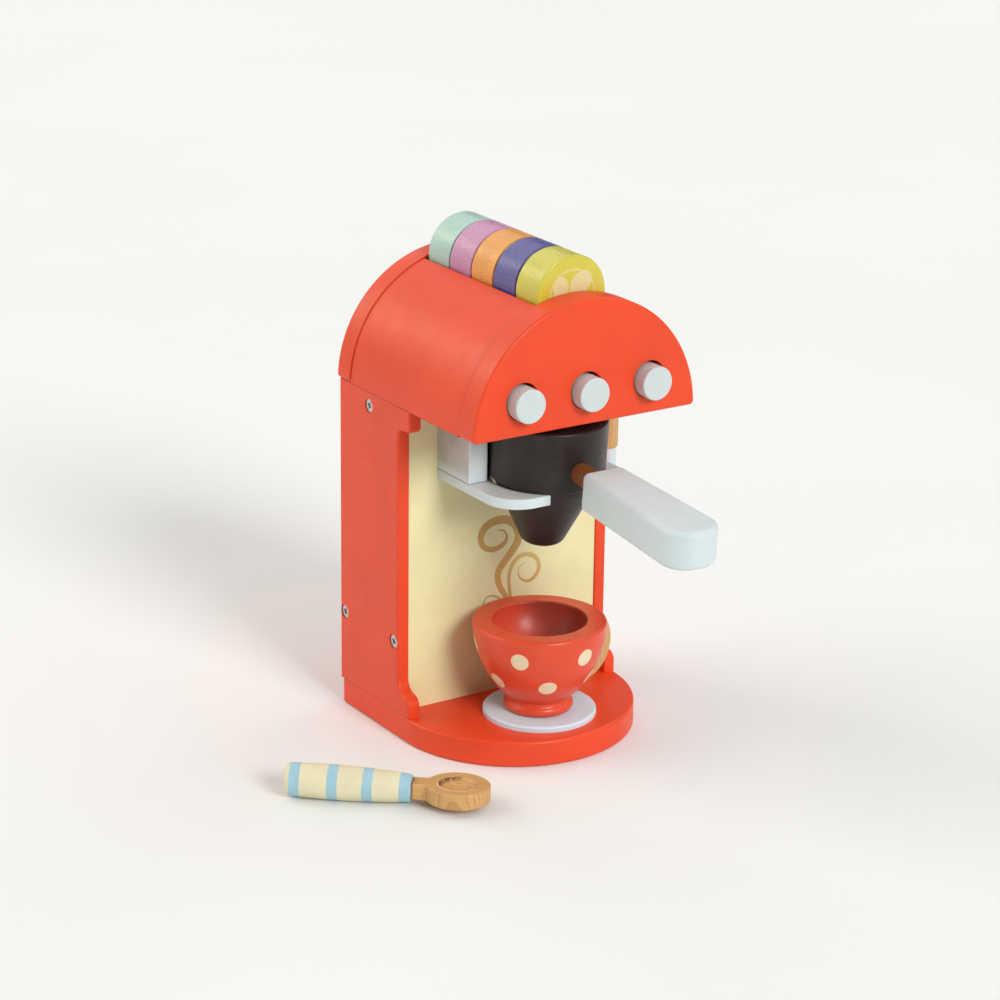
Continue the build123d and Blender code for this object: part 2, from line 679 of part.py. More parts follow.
scoop_r = 9.4
scoop_d = 3.8
ball_r = (scoop_r ** 2 + scoop_d ** 2) / (2 * scoop_d)
join_s = head_s - math.sqrt(head_r ** 2 - (neck_w / 2) ** 2)
head_mid = spoon_frame.offset(-head_t / 2)
with BuildPart() as spoon_head:
    with BuildSketch(head_mid):
        with Locations((head_s, 0)):
            Circle(head_r)
        with Locations(((spoon_len + head_s) / 2, 0)):
            Rectangle(head_s - spoon_len, neck_w)
    extrude(amount=head_t)
    o_v = Vector(*spoon_at)
    crease = [e for e in spoon_head.edges().filter_by(Axis(spoon_at, sz))
              if (e.center() - o_v).dot(Vector(*sx)) > spoon_len + 2.0
              and (e.center() - o_v).dot(Vector(*sx)) < join_s + 1.0]
    fillet(crease, 3.0)
    skin = [e for e in spoon_head.edges()
            if abs(abs((e.center() - o_v).dot(sz_v)) - head_t / 2) < 0.02
            and (e.center() - o_v).dot(Vector(*sx)) > spoon_len + 0.1]
    fillet(skin, 0.9)
    with Locations(Location(o_v + Vector(*sx) * head_s + sz_v * (head_t / 2 - scoop_d + ball_r))):
        Sphere(ball_r, mode=Mode.SUBTRACT)
    with BuildSketch(Plane(origin=o_v + Vector(*sx) * (spoon_len - tenon_len), z_dir=sx)):
        Circle(tenon_r)
    extrude(amount=tenon_len)
spoon_head.part.label = "spoon_head"
export_step(spoon_head.part, "parts/spoon_head.step")
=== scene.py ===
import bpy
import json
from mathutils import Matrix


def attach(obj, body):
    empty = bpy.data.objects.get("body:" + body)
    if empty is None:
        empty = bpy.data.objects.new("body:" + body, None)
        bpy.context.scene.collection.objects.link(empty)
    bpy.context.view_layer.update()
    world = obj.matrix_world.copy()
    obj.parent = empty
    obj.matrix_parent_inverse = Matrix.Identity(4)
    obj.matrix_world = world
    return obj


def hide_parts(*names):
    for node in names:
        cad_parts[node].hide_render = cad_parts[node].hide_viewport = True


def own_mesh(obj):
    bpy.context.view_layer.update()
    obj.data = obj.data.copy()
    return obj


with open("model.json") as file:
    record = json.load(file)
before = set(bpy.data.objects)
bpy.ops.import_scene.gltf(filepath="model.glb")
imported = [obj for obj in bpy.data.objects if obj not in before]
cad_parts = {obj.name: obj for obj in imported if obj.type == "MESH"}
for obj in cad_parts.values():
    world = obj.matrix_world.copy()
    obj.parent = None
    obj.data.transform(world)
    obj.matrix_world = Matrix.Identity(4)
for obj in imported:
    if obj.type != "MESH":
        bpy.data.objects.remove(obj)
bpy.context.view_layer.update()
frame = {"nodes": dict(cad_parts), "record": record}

import json
import math

import bmesh
import bpy
from mathutils import Matrix, Vector

nodes = frame["nodes"]


def lin(r, g, b):
    """Display colour 0-255 to the scene's linear colour."""
    out = []
    for v in (r, g, b):
        v = v / 255.0
        out.append(v / 12.92 if v <= 0.04045 else ((v + 0.055) / 1.055) ** 2.4)
    return (*out, 1.0)


def scaled(c, k):
    return (min(c[0] * k, 1.0), min(c[1] * k, 1.0), min(c[2] * k, 1.0), 1.0)


# ------------------------------------------------------------------ materials
class Tree:
    """A material's node tree. Lengths are in mm of the object's own frame."""

    def __init__(self, name):
        self.mat = bpy.data.materials.new(name)
        self.mat.use_nodes = True
        self.tree = self.mat.node_tree
        self.tree.nodes.clear()
        self.out = self.new("ShaderNodeOutputMaterial")
        self.bsdf = self.new("ShaderNodeBsdfPrincipled")
        self.link(self.bsdf.outputs[0], self.out.inputs["Surface"])
        self.mm = self.vec("SCALE", self.new("ShaderNodeTexCoord").outputs["Object"], scale=1000.0)
        self.xyz = None

    def new(self, kind, **props):
        n = self.tree.nodes.new(kind)
        for k, v in props.items():
            setattr(n, k, v)
        return n

    def link(self, a, b):
        self.tree.links.new(a, b)

    def put(self, value, socket):
        if isinstance(value, bpy.types.NodeSocket):
            self.link(value, socket)
        else:
            socket.default_value = value

    def math(self, op, a, b=None, c=None, clamp=False):
        n = self.new("ShaderNodeMath", operation=op, use_clamp=clamp)
        self.put(a, n.inputs[0])
        if b is not None:
            self.put(b, n.inputs[1])
        if c is not None:
            self.put(c, n.inputs[2])
        return n.outputs[0]

    def vec(self, op, a, b=None, scale=None):
        n = self.new("ShaderNodeVectorMath", operation=op)
        self.put(a, n.inputs[0])
        if b is not None:
            self.put(b, n.inputs[1])
        if scale is not None:
            self.put(scale, n.inputs[3])
        return n.outputs[1] if op in ("LENGTH", "DISTANCE", "DOT_PRODUCT") else n.outputs[0]

    def split(self):
        if self.xyz is None:
            n = self.new("ShaderNodeSeparateXYZ")
            self.link(self.mm, n.inputs[0])
            self.xyz = n.outputs
        return self.xyz

    def turned(self, origin, x, y, z):
        """The place in mm along the given axes, from origin."""
        d = self.vec("SUBTRACT", self.mm, origin)
        n = self.new("ShaderNodeCombineXYZ")
        for i, a in enumerate((x, y, z)):
            self.link(self.vec("DOT_PRODUCT", d, a), n.inputs[i])
        return n.outputs[0]

    def noise(self, vector, size, detail=3.0, rough=0.5, warp=0.0, stretch=None):
        """Noise whose features are about size mm across, stretched by (x, y, z)."""
        if stretch:
            vector = self.vec("MULTIPLY", vector, tuple(1.0 / s for s in stretch))
        n = self.new("ShaderNodeTexNoise")
        self.put(vector, n.inputs["Vector"])
        n.inputs["Scale"].default_value = 1.0 / size
        n.inputs["Detail"].default_value = detail
        n.inputs["Roughness"].default_value = rough
        n.inputs["Distortion"].default_value = warp
        return n.outputs[0]

    def cells(self, vector, size, feature="F1", stretch=None, spread=1.0):
        if stretch:
            vector = self.vec("MULTIPLY", vector, tuple(1.0 / s for s in stretch))
        n = self.new("ShaderNodeTexVoronoi", feature=feature)
        self.put(vector, n.inputs["Vector"])
        n.inputs["Scale"].default_value = 1.0 / size
        n.inputs["Randomness"].default_value = spread
        return n.outputs["Distance"], n.outputs["Color"]

    def fit(self, v, a, b, c=0.0, d=1.0, smooth=True):
        n = self.new("ShaderNodeMapRange", interpolation_type="SMOOTHSTEP" if smooth else "LINEAR")
        n.clamp = True
        for i, x in enumerate((v, a, b, c, d)):
            self.put(x, n.inputs[i])
        return n.outputs[0]

    def mix(self, f, a, b, blend="MIX"):
        n = self.new("ShaderNodeMix", data_type="RGBA", blend_type=blend)
        self.put(f, n.inputs[0])
        self.put(a, n.inputs[6])
        self.put(b, n.inputs[7])
        return n.outputs[2]

    def total(self, *terms):
        """Sum of (value, weight) pairs."""
        s = None
        for v, w in terms:
            t = self.math("MULTIPLY", v, w) if w != 1.0 else v
            s = t if s is None else self.math("ADD", s, t)
        return s

    def specks(self, size, radius, share, vector=None):
        """Sparse round specks: cells of size mm, radius mm, a share of the cells filled."""
        d, col = self.cells(vector or self.mm, size)
        dist = self.math("MULTIPLY", d, size)
        sep = self.new("ShaderNodeSeparateColor")
        self.link(col, sep.inputs[0])
        there = self.math("LESS_THAN", sep.outputs[0], share)
        big = self.math("MULTIPLY_ADD", sep.outputs[1], radius * 0.6, radius * 0.55)
        near = self.fit(self.math("DIVIDE", dist, big), 0.6, 1.0, 1.0, 0.0)
        return self.math("MULTIPLY", near, there)

    def done(self, colour, rough, height, spec=0.5, metallic=0.0, coat=0.0, coat_rough=0.2, normal_strength=1.0):
        """Height is in mm."""
        self.put(colour, self.bsdf.inputs["Base Color"])
        self.put(rough, self.bsdf.inputs["Roughness"])
        self.bsdf.inputs["Specular IOR Level"].default_value = spec
        self.bsdf.inputs["Metallic"].default_value = metallic
        self.bsdf.inputs["Coat Weight"].default_value = coat
        self.bsdf.inputs["Coat Roughness"].default_value = coat_rough
        b = self.new("ShaderNodeBump")
        b.inputs["Strength"].default_value = normal_strength
        b.inputs["Distance"].default_value = 0.001
        self.put(height, b.inputs["Height"])
        self.link(b.outputs[0], self.bsdf.inputs["Normal"])
        return self.mat


def painted_colour(t, colour, mottle=0.05, blotch=26.0, fine=0.02):
    """Brushed or sprayed enamel: slow change of depth and fine unevenness."""
    slow = t.noise(t.mm, blotch, 3.0, 0.55)
    quick = t.noise(t.mm, 1.4, 2.0, 0.6)
    c = t.mix(t.fit(slow, 0.3, 0.7), scaled(colour, 1.0 - mottle), scaled(colour, 1.0 + mottle))
    return t.mix(t.math("MULTIPLY", t.fit(quick, 0.25, 0.75), fine * 4.0), c, scaled(colour, 0.82))


def paint(name, colour, rough=0.38, mottle=0.05, peel=0.006, grain=None, grain_h=0.0, grain_dark=0.0,
          specks=0.0, speck_colour=None, spec=0.5, coat=0.0, shade=None):
    """Satin enamel on wood. grain stretches the faint telegraphed wood grain, in mm along x, y and z."""
    t = Tree(name)
    c = painted_colour(t, colour, mottle)
    peel_n = t.noise(t.mm, 0.9, 2.0, 0.5)
    wave = t.noise(t.mm, 5.0, 1.0, 0.5)
    h = t.total((peel_n, peel), (wave, peel * 1.6))
    if grain:
        g = t.noise(t.mm, 0.55, 4.0, 0.62, 0.25, stretch=grain)
        groove = t.fit(g, 0.36, 0.52)
        h = t.math("ADD", h, t.math("MULTIPLY", groove, grain_h))
        c = t.mix(t.math("MULTIPLY", t.math("SUBTRACT", 1.0, groove), grain_dark), c, scaled(colour, 0.6))
    if specks:
        s = t.specks(4.2, 0.16, specks)
        c = t.mix(s, c, speck_colour or scaled(colour, 1.25))
        h = t.math("ADD", h, t.math("MULTIPLY", s, 0.02))
    r = t.fit(t.noise(t.mm, 7.0, 3.0, 0.6), 0.2, 0.8, rough - 0.05, rough + 0.06)
    if shade:
        c = shade(t, c)
    return t.done(c, r, h, spec=spec, coat=coat)


def bracket_shade(t, c):
    """Glue line where each bracket block stands on the yoke plate, and painted shade that makes the outer side greyer
    under the roof.
    """
    x, y, z = t.split()
    block = t.math("MULTIPLY", t.fit(y, -19.7, -19.3), t.fit(t.math("ABSOLUTE", x), 26.9, 27.2))
    line = t.fit(t.math("ABSOLUTE", t.math("SUBTRACT", z, 133.25)), 0.10, 0.42, 1.0, 0.0)
    line = t.math("MULTIPLY", line, t.fit(t.noise(t.mm, 5.0, 3.0, 0.6), 0.25, 0.6, 0.45, 0.8))
    # painted shade: the blocks' outer sides turn greyer up under the roof
    roof_shade = t.math("MULTIPLY", t.fit(z, 133.3, 140.0), t.fit(t.math("ABSOLUTE", x), 37.4, 37.7))
    roof_shade = t.math("MULTIPLY", roof_shade, t.fit(t.noise(t.mm, 7.0, 3.0, 0.65), 0.2, 0.8, 0.42, 0.68))
    c = t.mix(t.math("MULTIPLY", roof_shade, block), c, lin(168, 152, 138))
    return t.mix(t.math("MULTIPLY", line, block), c, lin(104, 100, 98))


RED = lin(231, 72, 33)
CREAM = lin(233, 228, 177)
CUP_RED = lin(223, 73, 40)


def red_board(name, rough=0.40, mottle=0.04):
    """Red enamel over fine board: orange peel, a few dust nibs, thin scuffs."""
    t = Tree(name)
    c = painted_colour(t, RED, mottle, 34.0, 0.012)
    nib = t.specks(9.0, 0.17, 0.22)
    c = t.mix(t.math("MULTIPLY", nib, 0.35), c, scaled(RED, 1.5))
    scuff = t.noise(t.mm, 2.2, 3.0, 0.7, 0.6, stretch=(1.0, 9.0, 1.0))
    sc = t.fit(scuff, 0.68, 0.78)
    c = t.mix(t.math("MULTIPLY", sc, 0.10), c, lin(240, 130, 105))
    # glue lines: dirt and shade where one board meets the next on the outside
    x, y, z = t.split()
    outside = t.fit(t.math("ABSOLUTE", x), 58.9, 59.4)
    under_roof = t.math("MULTIPLY", t.fit(t.math("ABSOLUTE", t.math("SUBTRACT", z, 167.6)), 0.12, 0.42, 1.0, 0.0), outside)
    on_base = t.math("MULTIPLY", t.fit(t.math("ABSOLUTE", t.math("SUBTRACT", z, 13.0)), 0.12, 0.42, 1.0, 0.0), outside)
    on_base = t.math("MULTIPLY", on_base, t.fit(y, -3.2, -2.4))
    roof_ends = t.math("MAXIMUM", t.fit(t.math("ABSOLUTE", t.math("ADD", y, 45.9)), 0.24, 0.60, 1.0, 0.0),
                       t.fit(t.math("ABSOLUTE", t.math("SUBTRACT", y, 51.1)), 0.06, 0.24, 1.0, 0.0))
    roof_ends = t.math("MULTIPLY", roof_ends, t.fit(z, 167.0, 167.7))
    line = t.math("MAXIMUM", t.math("MAXIMUM", under_roof, on_base), roof_ends)
    line = t.math("MULTIPLY", line, t.fit(t.noise(t.mm, 6.0, 3.0, 0.6), 0.25, 0.6, 0.22, 0.62))
    c = t.mix(line, c, lin(128, 38, 24))
    h = t.total((t.noise(t.mm, 0.8, 2.0, 0.5), 0.004), (t.noise(t.mm, 4.5, 1.0, 0.5), 0.010), (nib, 0.02), (line, -0.02))
    r = t.math("ADD", t.fit(t.noise(t.mm, 9.0, 3.0, 0.6), 0.2, 0.8, rough - 0.05, rough + 0.06),
               t.math("MULTIPLY", sc, 0.08))
    return t.done(c, r, h, spec=0.34)


def cream_board(name):
    """Cream painted board with a little upright grain showing and printed speckle."""
    t = Tree(name)
    c = painted_colour(t, CREAM, 0.03, 30.0, 0.012)
    g = t.noise(t.mm, 0.7, 4.0, 0.6, 0.2, stretch=(1.0, 1.0, 14.0))
    c = t.mix(t.math("MULTIPLY", t.fit(g, 0.55, 0.75), 0.10), c, lin(206, 180, 128))
    s = t.specks(3.4, 0.13, 0.25)
    c = t.mix(t.math("MULTIPLY", s, 0.45), c, lin(190, 160, 110))
    h = t.total((t.noise(t.mm, 0.8, 2.0, 0.5), 0.004), (t.fit(g, 0.4, 0.6), 0.005))
    r = t.fit(t.noise(t.mm, 8.0, 3.0, 0.6), 0.2, 0.8, 0.42, 0.55)
    return t.done(c, r, h, spec=0.4)


def bare_board(name):
    """Unpainted fibre board: short random fibres."""
    t = Tree(name)
    f1 = t.noise(t.mm, 0.35, 4.0, 0.7, 0.8, stretch=(3.0, 1.0, 1.0))
    f2 = t.noise(t.mm, 0.35, 4.0, 0.7, 0.8, stretch=(1.0, 3.0, 1.0))
    f = t.math("MULTIPLY", t.math("ADD", f1, f2), 0.5)
    c = t.mix(t.fit(f, 0.35, 0.65), lin(150, 116, 78), lin(196, 163, 120))
    c = t.mix(t.math("MULTIPLY", t.fit(t.noise(t.mm, 18.0, 2.0), 0.3, 0.7), 0.25), c, lin(170, 132, 92))
    return t.done(c, t.fit(f, 0.3, 0.7, 0.6, 0.8), t.math("MULTIPLY", f, 0.03), spec=0.3)


def wood(name, along, across, origin, light, dark, pore, ring=2.6, rough=0.5, far=38.0, coat=0.0,
         pore_h=0.02, depth=None):
    """Plain hardwood. Growth rings are shells round an axis that runs along the piece, far mm off its centre."""
    t = Tree(name)
    a, b = Vector(along).normalized(), Vector(across)
    b = (b - a * b.dot(a)).normalized()
    c3 = a.cross(b)
    p = t.turned(tuple(origin), tuple(a), tuple(b), tuple(c3))
    bend = t.noise(p, 16.0, 3.0, 0.55, stretch=(5.0, 1.0, 1.0))
    n = t.new("ShaderNodeSeparateXYZ")
    t.link(p, n.inputs[0])
    y = t.math("ADD", n.outputs[1], far)
    z = n.outputs[2]
    r2 = t.math("SQRT", t.math("ADD", t.math("MULTIPLY", y, y), t.math("MULTIPLY", z, z)))
    r2 = t.math("ADD", r2, t.math("MULTIPLY", bend, 7.0))
    band = t.math("FRACT", t.math("DIVIDE", r2, ring))
    late = t.fit(band, 0.45, 0.97)                     # slow rise, sharp end of each ring
    fine = t.noise(p, 0.34, 4.0, 0.65, stretch=(16.0, 1.0, 1.0))
    fibre = t.noise(p, 0.9, 3.0, 0.6, stretch=(22.0, 1.0, 1.0))
    base = t.mix(t.math("MULTIPLY", late, 0.55), light, dark)
    base = t.mix(t.math("MULTIPLY", t.fit(fibre, 0.35, 0.7), 0.35), base, scaled(dark, 0.92))
    slow = t.noise(p, 13.0, 2.0, 0.5, stretch=(2.5, 1.0, 1.0))
    base = t.mix(t.math("MULTIPLY", t.fit(slow, 0.35, 0.7), 0.22), base, scaled(light, 1.12))
    holes = t.fit(fine, 0.62, 0.72)
    base = t.mix(t.math("MULTIPLY", holes, 0.55), base, pore)
    if depth:
        base = depth(t, p, base)
    h = t.total((t.math("SUBTRACT", 1.0, holes), pore_h), (fibre, 0.012), (late, 0.006))
    r = t.fit(fibre, 0.3, 0.7, rough - 0.06, rough + 0.08)
    return t.done(base, r, h, spec=0.4, coat=coat)


def steel(name, axis=(1.0, 0.0, 0.0), tone=0.78):
    """Bright zinc with fine turned lines and darker spots."""
    t = Tree(name)
    lines = t.noise(t.mm, 0.12, 3.0, 0.6, stretch=(8.0, 1.0, 1.0))
    spots = t.noise(t.mm, 0.9, 3.0, 0.6)
    c = t.mix(t.fit(spots, 0.3, 0.75), (tone, tone, tone * 0.99, 1.0), (tone * 0.72, tone * 0.72, tone * 0.7, 1.0))
    r = t.fit(lines, 0.25, 0.75, 0.22, 0.42)
    return t.done(c, r, t.math("MULTIPLY", lines, 0.006), metallic=1.0)


# ---- cup: red with cream dots, a row of six and a staggered row of five below
CUP_AXIS = (-0.7, -25.0)
DOT_R = 4.4


def cup_paint(name):
    t = Tree(name)
    red = painted_colour(t, CUP_RED, 0.05, 17.0, 0.02)
    x, y, z = t.split()
    ring = t.noise(t.mm, 0.5, 3.0, 0.6, stretch=(9.0, 9.0, 1.0))      # faint turning lines
    red = t.mix(t.math("MULTIPLY", t.fit(ring, 0.5, 0.75), 0.10), red, scaled(CUP_RED, 0.72))
    far = None
    places = [(a, 31.0, 50.0) for a in (-112.8, -50.8, 11.0, 70.5, 131.0, 189.0)]
    places += [(a, 25.6, 35.0) for a in (-83.6, -23.7, 36.3, 156.3, 216.3)]
    for az, r, h in places:
        a = math.radians(az)
        p = (CUP_AXIS[0] + r * math.sin(a), CUP_AXIS[1] - r * math.cos(a), h)
        d = t.vec("DISTANCE", t.mm, p)
        far = d if far is None else t.math("MINIMUM", far, d)
    edge = t.math("ADD", far, t.math("MULTIPLY", t.math("SUBTRACT", t.noise(t.mm, 0.8, 2.0), 0.5), 0.35))
    dot = t.fit(edge, DOT_R - 0.16, DOT_R + 0.16, 1.0, 0.0)
    cream = painted_colour(t, lin(233, 213, 178), 0.03, 5.0, 0.02)
    c = t.mix(dot, red, cream)
    h = t.total((t.noise(t.mm, 0.8, 2.0), 0.005), (t.noise(t.mm, 4.0, 1.0), 0.012), (ring, 0.006), (dot, 0.03))
    r = t.fit(t.noise(t.mm, 6.0, 3.0, 0.6), 0.2, 0.8, 0.28, 0.40)
    cx = t.math("SUBTRACT", x, CUP_AXIS[0])
    cy = t.math("SUBTRACT", y, CUP_AXIS[1])
    rad = t.math("SQRT", t.math("ADD", t.math("MULTIPLY", cx, cx), t.math("MULTIPLY", cy, cy)))
    inside = t.math("MULTIPLY", t.fit(rad, 22.9, 23.4, 1.0, 0.0), t.fit(z, 36.5, 36.9))
    r = t.math("ADD", r, t.math("MULTIPLY", inside, 0.05))
    # shade laid into the paint of the bowl's right side, deeper than the lights alone leave it
    bowl_shade = t.math("MULTIPLY", inside, t.fit(t.total((cx, 1.0), (cy, 0.25), (t.noise(t.mm, 6.0, 2.0), 3.0)), 6.5, 21.0))
    # painted sheen: the whole bowl mixed a little paler, standing in for its broad soft gloss
    c = t.mix(t.math("MULTIPLY", inside, 0.16), c, lin(214, 104, 92))
    # painted shade mixed in on the bowl's right side
    c = t.mix(t.math("MULTIPLY", bowl_shade, 0.62), c, lin(104, 56, 50))
    return t.done(c, r, h, spec=0.5)


# ---- pods: turned wood under thin paint, a plain ring with three ovals on each front
POD_Z = 225.9


def pod_paint(name, colour, front, print_colour, wrinkle, both_ends, sheen=0.6):
    t = Tree(name)
    x, y, z = t.split()
    streak = t.noise(t.mm, 0.62, 4.0, 0.68, 0.9, stretch=(1.0, 3.2, 1.0))
    pits = t.noise(t.mm, 0.33, 3.0, 0.6)
    base = painted_colour(t, colour, 0.05, 12.0, 0.02)
    groove = t.fit(streak, 0.44, 0.60)
    base = t.mix(t.math("MULTIPLY", t.math("SUBTRACT", 1.0, groove), 0.26), base, scaled(colour, 0.62))
    base = t.mix(t.math("MULTIPLY", t.fit(pits, 0.60, 0.72), 0.30), base, scaled(colour, 1.35))
    # dust and shade caught at the two rims, where one pod meets the next
    ends = t.math("SUBTRACT", front + 18.7, y)
    if both_ends:
        ends = t.math("MINIMUM", ends, t.math("SUBTRACT", y, front))
    # print, in the plane of the front face
    px = t.math("SUBTRACT", x, 0.3)
    pz = t.math("SUBTRACT", z, POD_Z - 0.3)
    rad = t.math("SQRT", t.math("ADD", t.math("MULTIPLY", px, px), t.math("MULTIPLY", pz, pz)))
    wob = t.math("MULTIPLY", t.math("SUBTRACT", t.noise(t.mm, 0.9, 2.0), 0.5), 0.25)
    rim = t.math("MULTIPLY", t.fit(ends, 0.15, 0.55, 1.0, 0.0), t.fit(rad, 17.3, 17.9))
    base = t.mix(t.math("MULTIPLY", rim, 0.55), base, scaled(colour, 0.30))
    ring = t.fit(t.math("ABSOLUTE", t.math("SUBTRACT", t.math("ADD", rad, wob), 12.1)), 0.22, 0.42, 1.0, 0.0)
    marks = ring
    for ox, oz, ra, rb, turn in ((4.6, 5.3, 6.5, 5.0, 38.0), (-6.3, 3.9, 5.5, 4.3, 100.0), (0.6, -6.6, 5.6, 4.0, -12.0)):
        ca, sa = math.cos(math.radians(turn)), math.sin(math.radians(turn))
        dx = t.math("SUBTRACT", px, ox)
        dz = t.math("SUBTRACT", pz, oz)
        u = t.math("ADD", t.math("MULTIPLY", dx, ca / ra), t.math("MULTIPLY", dz, sa / ra))
        v = t.math("ADD", t.math("MULTIPLY", dx, -sa / rb), t.math("MULTIPLY", dz, ca / rb))
        e = t.math("SQRT", t.math("ADD", t.math("MULTIPLY", u, u), t.math("MULTIPLY", v, v)))
        e = t.math("ADD", e, t.math("MULTIPLY", wob, 0.25))
        marks = t.math("MAXIMUM", marks, t.fit(e, 0.96, 1.04, 1.0, 0.0))
    face = t.math("LESS_THAN", y, front + 0.12)
    marks = t.math("MULTIPLY", marks, face)
    side = t.math("SUBTRACT", 1.0, face)
    c = t.mix(t.math("MULTIPLY", marks, 0.93), base, print_colour)
    crinkle = t.noise(t.mm, 0.95, 2.0, 0.55, 0.8, stretch=(1.0, 1.5, 1.0))
    h = t.total((t.math("MULTIPLY", groove, side), 0.050), (t.math("MULTIPLY", pits, side), 0.030),
                (t.math("MULTIPLY", crinkle, side), wrinkle),
                (t.noise(t.mm, 2.6, 2.0), 0.012), (marks, 0.02))
    r = t.fit(streak, 0.3, 0.7, 0.34, 0.22)
    return t.done(c, r, h, spec=sheen, coat=0.30, coat_rough=0.25)


# ---- filter cup: dark lacquer with fine pale flecks
def dark_paint(name):
    t = Tree(name)
    x, y, z = t.split()
    base_c = lin(37, 29, 27)
    turn = t.noise(t.mm, 0.6, 3.0, 0.6, stretch=(8.0, 8.0, 1.0))
    c = t.mix(t.fit(t.noise(t.mm, 9.0, 3.0, 0.55), 0.3, 0.7), scaled(base_c, 0.85), scaled(base_c, 1.25))
    c = t.mix(t.math("MULTIPLY", t.fit(turn, 0.5, 0.75), 0.25), c, lin(66, 52, 48))
    fine = t.specks(1.5, 0.085, 0.16)
    some = t.specks(6.5, 0.20, 0.35)
    c = t.mix(t.math("MULTIPLY", fine, 0.45), c, lin(150, 142, 136))
    c = t.mix(t.math("MULTIPLY", some, 0.8), c, lin(214, 208, 200))
    h = t.total((t.noise(t.mm, 0.7, 3.0, 0.6), 0.010), (turn, 0.010), (t.noise(t.mm, 4.0, 1.0), 0.012), (some, 0.02))
    r = t.fit(t.noise(t.mm, 5.0, 3.0, 0.6), 0.2, 0.8, 0.33, 0.46)
    return t.done(c, r, h, spec=0.34)


# ---- spoon: the handle's axis, from its end to the head
S_AZ, S_TILT, S_ROLL = math.radians(-38.6), math.radians(1.4), math.radians(3.5)
S_AT = Vector((-138.82, -22.84, 8.86))
SX = Vector((math.cos(S_AZ) * math.cos(S_TILT), math.sin(S_AZ) * math.cos(S_TILT), -math.sin(S_TILT)))
_up = Vector((0, 0, 1))
_up = (_up - SX * _up.dot(SX)).normalized()
SZ = (_up * math.cos(S_ROLL) + _up.cross(SX) * math.sin(S_ROLL)).normalized()
SY = SZ.cross(SX)
STRIPES = ((2.4, 7.3), (20.1, 25.0), (36.4, 41.2), (53.5, 60.0))


def barrel_paint(name):
    t = Tree(name)
    p = t.turned(tuple(S_AT), tuple(SX), tuple(SY), tuple(SZ))
    n = t.new("ShaderNodeSeparateXYZ")
    t.link(p, n.inputs[0])
    s = t.math("ADD", n.outputs[0], t.math("MULTIPLY", t.math("SUBTRACT", t.noise(p, 1.6, 2.0), 0.5), 0.5))
    band = None
    for a, b in STRIPES:
        m = t.math("MULTIPLY", t.fit(s, a - 0.12, a + 0.12), t.fit(s, b - 0.12, b + 0.12, 1.0, 0.0))
        band = m if band is None else t.math("MAXIMUM", band, m)
    cream_c, blue_c = lin(228, 220, 185), lin(160, 200, 214)
    cream = painted_colour(t, cream_c, 0.035, 9.0, 0.02)
    blue = painted_colour(t, blue_c, 0.05, 6.0, 0.03)
    g = t.noise(p, 0.5, 4.0, 0.62, 0.2, stretch=(18.0, 1.0, 1.0))
    cream = t.mix(t.math("MULTIPLY", t.fit(g, 0.52, 0.72), 0.22), cream, lin(205, 188, 138))
    blue = t.mix(t.math("MULTIPLY", t.fit(g, 0.52, 0.72), 0.22), blue, lin(128, 178, 196))
    c = t.mix(band, cream, blue)
    h = t.total((t.fit(g, 0.4, 0.6), 0.012), (t.noise(p, 0.9, 2.0), 0.005), (band, 0.025))
    r = t.fit(t.noise(p, 5.0, 3.0, 0.6), 0.2, 0.8, 0.38, 0.52)
    return t.done(c, r, h, spec=0.45)


HEAD_AT = S_AT + SX * 80.2


def scoop_shade(t, p, base):
    """Painted shade on the far inner wall round the scoop's rim, dark dots round the rim towards its tip, and a painted
    highlight along the near lip.
    """
    n = t.new("ShaderNodeSeparateXYZ")
    t.link(p, n.inputs[0])
    rad = t.math("SQRT", t.math("ADD", t.math("MULTIPLY", n.outputs[0], n.outputs[0]),
                                t.math("MULTIPLY", n.outputs[1], n.outputs[1])))
    u, v = n.outputs[0], n.outputs[1]
    rim = t.math("MULTIPLY", t.fit(rad, 6.8, 8.4), t.fit(rad, 9.5, 10.5, 1.0, 0.0))
    below = t.fit(n.outputs[2], 3.55, 3.85, 1.0, 0.0)
    patch = t.fit(t.noise(p, 1.9, 3.0, 0.7, 0.5), 0.34, 0.46)
    # painted shade: darker patches on the far inner wall of the scoop
    dark = t.math("MULTIPLY", t.fit(t.total((u, -0.85), (v, 0.5)), 2.2, 6.5), t.math("MULTIPLY", rim, patch))
    dots = t.math("MULTIPLY", t.fit(t.noise(p, 0.9, 3.0, 0.7, 0.5), 0.50, 0.60), t.fit(u, 5.0, 7.5))
    dark = t.math("MAXIMUM", dark, t.math("MULTIPLY", t.math("MULTIPLY", dots, rim), 0.7))
    lip = t.math("MULTIPLY", t.fit(rad, 9.1, 9.4), t.fit(rad, 9.9, 10.3, 1.0, 0.0))
    # painted highlight along the near lip of the scoop
    pale = t.math("MULTIPLY", t.fit(t.total((u, -0.35), (v, -0.9)), 1.0, 6.0), lip)
    base = t.mix(t.math("MULTIPLY", pale, 0.7), base, lin(240, 212, 172))
    base = t.mix(t.math("MULTIPLY", t.math("MULTIPLY", dark, below), 0.88), base, lin(92, 48, 32))
    joint = t.fit(u, -20.9, -20.1, 1.0, 0.0)           # glue and shade where the head leaves the handle
    return t.mix(t.math("MULTIPLY", joint, 0.7), base, lin(84, 46, 30))


